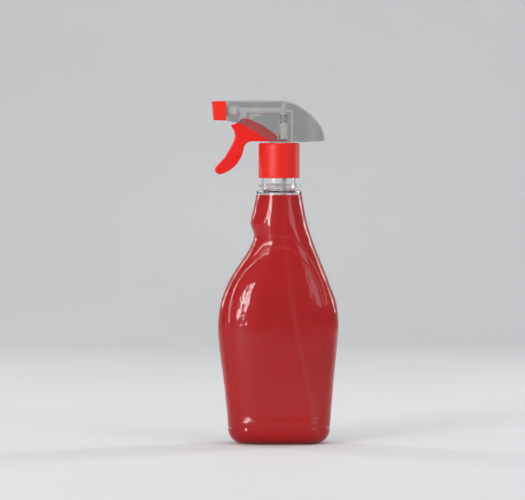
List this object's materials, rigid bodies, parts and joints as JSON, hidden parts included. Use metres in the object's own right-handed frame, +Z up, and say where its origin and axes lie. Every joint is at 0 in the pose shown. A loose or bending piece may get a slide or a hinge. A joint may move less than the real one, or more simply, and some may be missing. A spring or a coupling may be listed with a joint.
{
  "type": "trigger spray bottle",
  "caption": "Oval clear spray bottle filled with red liquid, with a screw-on trigger pump head, translucent shroud, dip tube and a turning square nozzle.",
  "frame": {"origin": "middle of the bottle's base, on the axis of the neck, in the plane it stands on", "axes": "+Z up along the neck; -X is the way the nozzle sprays and +X the rear; Y is the depth, with the mirror plane at Y = 0"},
  "size_m": [0.0963, 0.051, 0.26],
  "materials": {
    "clear_bottle_plastic": "gloss",
    "red_liquid": "gloss",
    "red_plastic_closure": "satin",
    "white_plastic": "satin",
    "smoky_plastic": "satin",
    "neck_gasket_foam": "matte",
    "seal_rubber": "matte",
    "white_plastic_stem": "satin",
    "cup_plastic": "satin",
    "spring_steel": "polished",
    "white_plastic_cylinder": "satin",
    "white_plastic_seat": "satin",
    "steel_ball": "polished",
    "milky_tube_plastic": "satin",
    "steel_ball_small": "polished",
    "white_plastic_plug": "satin",
    "red_plastic_trigger": "gloss",
    "pin_steel": "satin",
    "white_plastic_insert": "satin",
    "seal_rubber_ring": "matte",
    "red_plastic_nozzle": "gloss"
  },
  "bodies": {
    "bottle": {"bottle": "clear_bottle_plastic", "liquid": "red_liquid"},
    "head": {"pump_body": "white_plastic", "shroud": "smoky_plastic", "neck_gasket": "neck_gasket_foam", "stem_seal": "seal_rubber", "discharge_stem": "white_plastic_stem", "piston_cup": "cup_plastic", "return_spring": "spring_steel", "valve_plug": "white_plastic_plug", "trigger_pin": "pin_steel", "swirl_insert": "white_plastic_insert", "nozzle_seal": "seal_rubber_ring"},
    "closure": {"closure": "red_plastic_closure"},
    "trigger": {"trigger": "red_plastic_trigger"},
    "plunger": {"pump_cylinder": "white_plastic_cylinder", "inlet_seat": "white_plastic_seat", "dip_tube": "milky_tube_plastic"},
    "inlet_ball": {"inlet_ball": "steel_ball"},
    "outlet_ball": {"outlet_ball": "steel_ball_small"},
    "nozzle": {"nozzle": "red_plastic_nozzle"}
  },
  "joints": [
    {"name": "head_rise", "type": "slide", "parent": "bottle", "child": "head", "axis": [0, 0, 1], "range_m": [0, 0.00636]},
    {"name": "closure_turn", "type": "hinge", "parent": "head", "child": "closure", "pos_m": [0, 0, 0.2146], "axis": [0, 0, 1], "range_deg": [0, 540]},
    {"name": "trigger_pull", "type": "hinge", "parent": "head", "child": "trigger", "pos_m": [-0.027, 0, 0.2436], "axis": [0, -1, 0], "range_deg": [0, 12], "stiffness_Nm_per_rad": 0.6, "springref_deg": -11.46},
    {"name": "plunger_lift", "type": "slide", "parent": "head", "child": "plunger", "axis": [0, 0, 1], "range_m": [0, 0.00672], "deforming": ["return_spring"]},
    {"name": "inlet_ball_lift", "type": "slide", "parent": "plunger", "child": "inlet_ball", "axis": [0, 0, 1], "range_m": [0, 0.001]},
    {"name": "outlet_ball_lift", "type": "slide", "parent": "head", "child": "outlet_ball", "axis": [0, 0, 1], "range_m": [0, 0.0009]},
    {"name": "nozzle_turn", "type": "hinge", "parent": "head", "child": "nozzle", "pos_m": [-0.045, 0, 0.2522], "axis": [1, 0, 0], "continuous": true}
  ],
  "couplings": [
    {"joint": "head_rise", "follows": "closure_turn", "m_per_rad": 0.00067376},
    {"joint": "plunger_lift", "follows": "trigger_pull", "m_per_rad": 0.032062}
  ]
}
